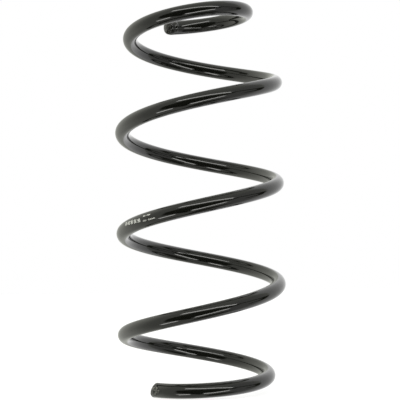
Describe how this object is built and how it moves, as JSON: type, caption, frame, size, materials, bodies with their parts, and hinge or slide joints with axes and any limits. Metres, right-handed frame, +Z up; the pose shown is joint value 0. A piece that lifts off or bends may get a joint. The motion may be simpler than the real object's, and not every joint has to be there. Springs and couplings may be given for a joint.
{
  "type": "suspension spring",
  "caption": "Open coil spring for a car's strut, wound from round steel bar in glossy black, with a smaller lower end and a closed pigtail at the top.",
  "frame": {"origin": "on the coil's axis, level with the underside of the lower end, where the spring sits in its lower seat", "axes": "+Z up the coil's axis to the pigtail; -Y is the side that the picture shows; the coil rises anticlockwise seen from above"},
  "size_m": [0.156, 0.156, 0.3595],
  "materials": {
    "black_coating": "gloss black coating baked on steel bar"
  },
  "bodies": {
    "root": {"coil_spring": "black_coating"}
  },
  "joints": []
}
